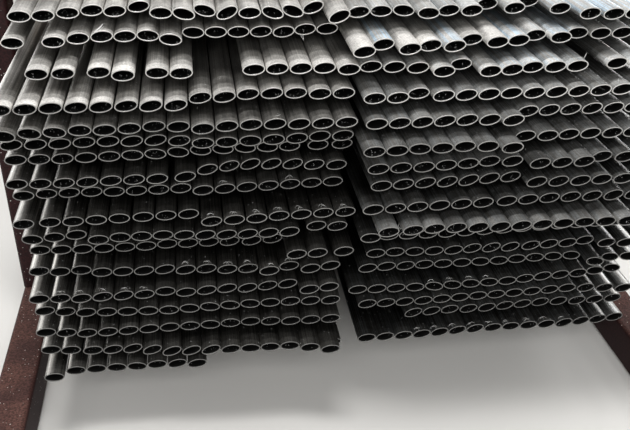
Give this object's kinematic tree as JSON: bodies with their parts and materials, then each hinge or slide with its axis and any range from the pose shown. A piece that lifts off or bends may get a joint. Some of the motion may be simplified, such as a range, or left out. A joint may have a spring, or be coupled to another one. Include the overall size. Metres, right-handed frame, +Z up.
{
  "type": "stack of oval aluminium tubes",
  "caption": "Layers of thin-walled oval aluminium tubes with sawn ends, stacked on thin laths between the posts of a low steel storage rack.",
  "frame": {"origin": "on the floor, under the middle of the rack and of the stack", "axes": "+Z up, Y along the tubes with the sawn ends that the picture shows towards -Y, +X to the right seen from there"},
  "size_m": [1.133, 3.2, 0.7342],
  "materials": {
    "tube_aluminium": "mill finish, dull and a little dusty",
    "lath_wood": "rough sawn softwood, grey with age",
    "rack_paint": "dark red-brown primer paint, matt, dusty"
  },
  "bodies": {
    "root": {"tubes_layer_01": "tube_aluminium", "tubes_layer_02": "tube_aluminium", "tubes_layer_03": "tube_aluminium", "tubes_layer_04": "tube_aluminium", "tubes_layer_05": "tube_aluminium", "tubes_layer_06": "tube_aluminium", "tubes_layer_07": "tube_aluminium", "tubes_layer_08": "tube_aluminium", "tubes_layer_09": "tube_aluminium", "tubes_layer_10": "tube_aluminium", "tubes_layer_11": "tube_aluminium", "tubes_layer_12": "tube_aluminium", "tubes_layer_13": "tube_aluminium", "tubes_layer_14": "tube_aluminium", "tubes_layer_15": "tube_aluminium", "tubes_layer_16": "tube_aluminium", "tubes_layer_17": "tube_aluminium", "tubes_layer_18": "tube_aluminium", "spacer_laths_1": "lath_wood", "spacer_laths_2": "lath_wood", "spacer_laths_3": "lath_wood", "spacer_laths_4": "lath_wood", "rack_rail_left": "rack_paint", "rack_rail_right": "rack_paint", "rack_post_front_left": "rack_paint", "rack_post_front_right": "rack_paint", "rack_post_back_left": "rack_paint", "rack_post_back_right": "rack_paint", "rack_bearer_1": "rack_paint", "rack_bearer_2": "rack_paint", "rack_bearer_3": "rack_paint", "rack_bearer_4": "rack_paint"}
  },
  "joints": []
}
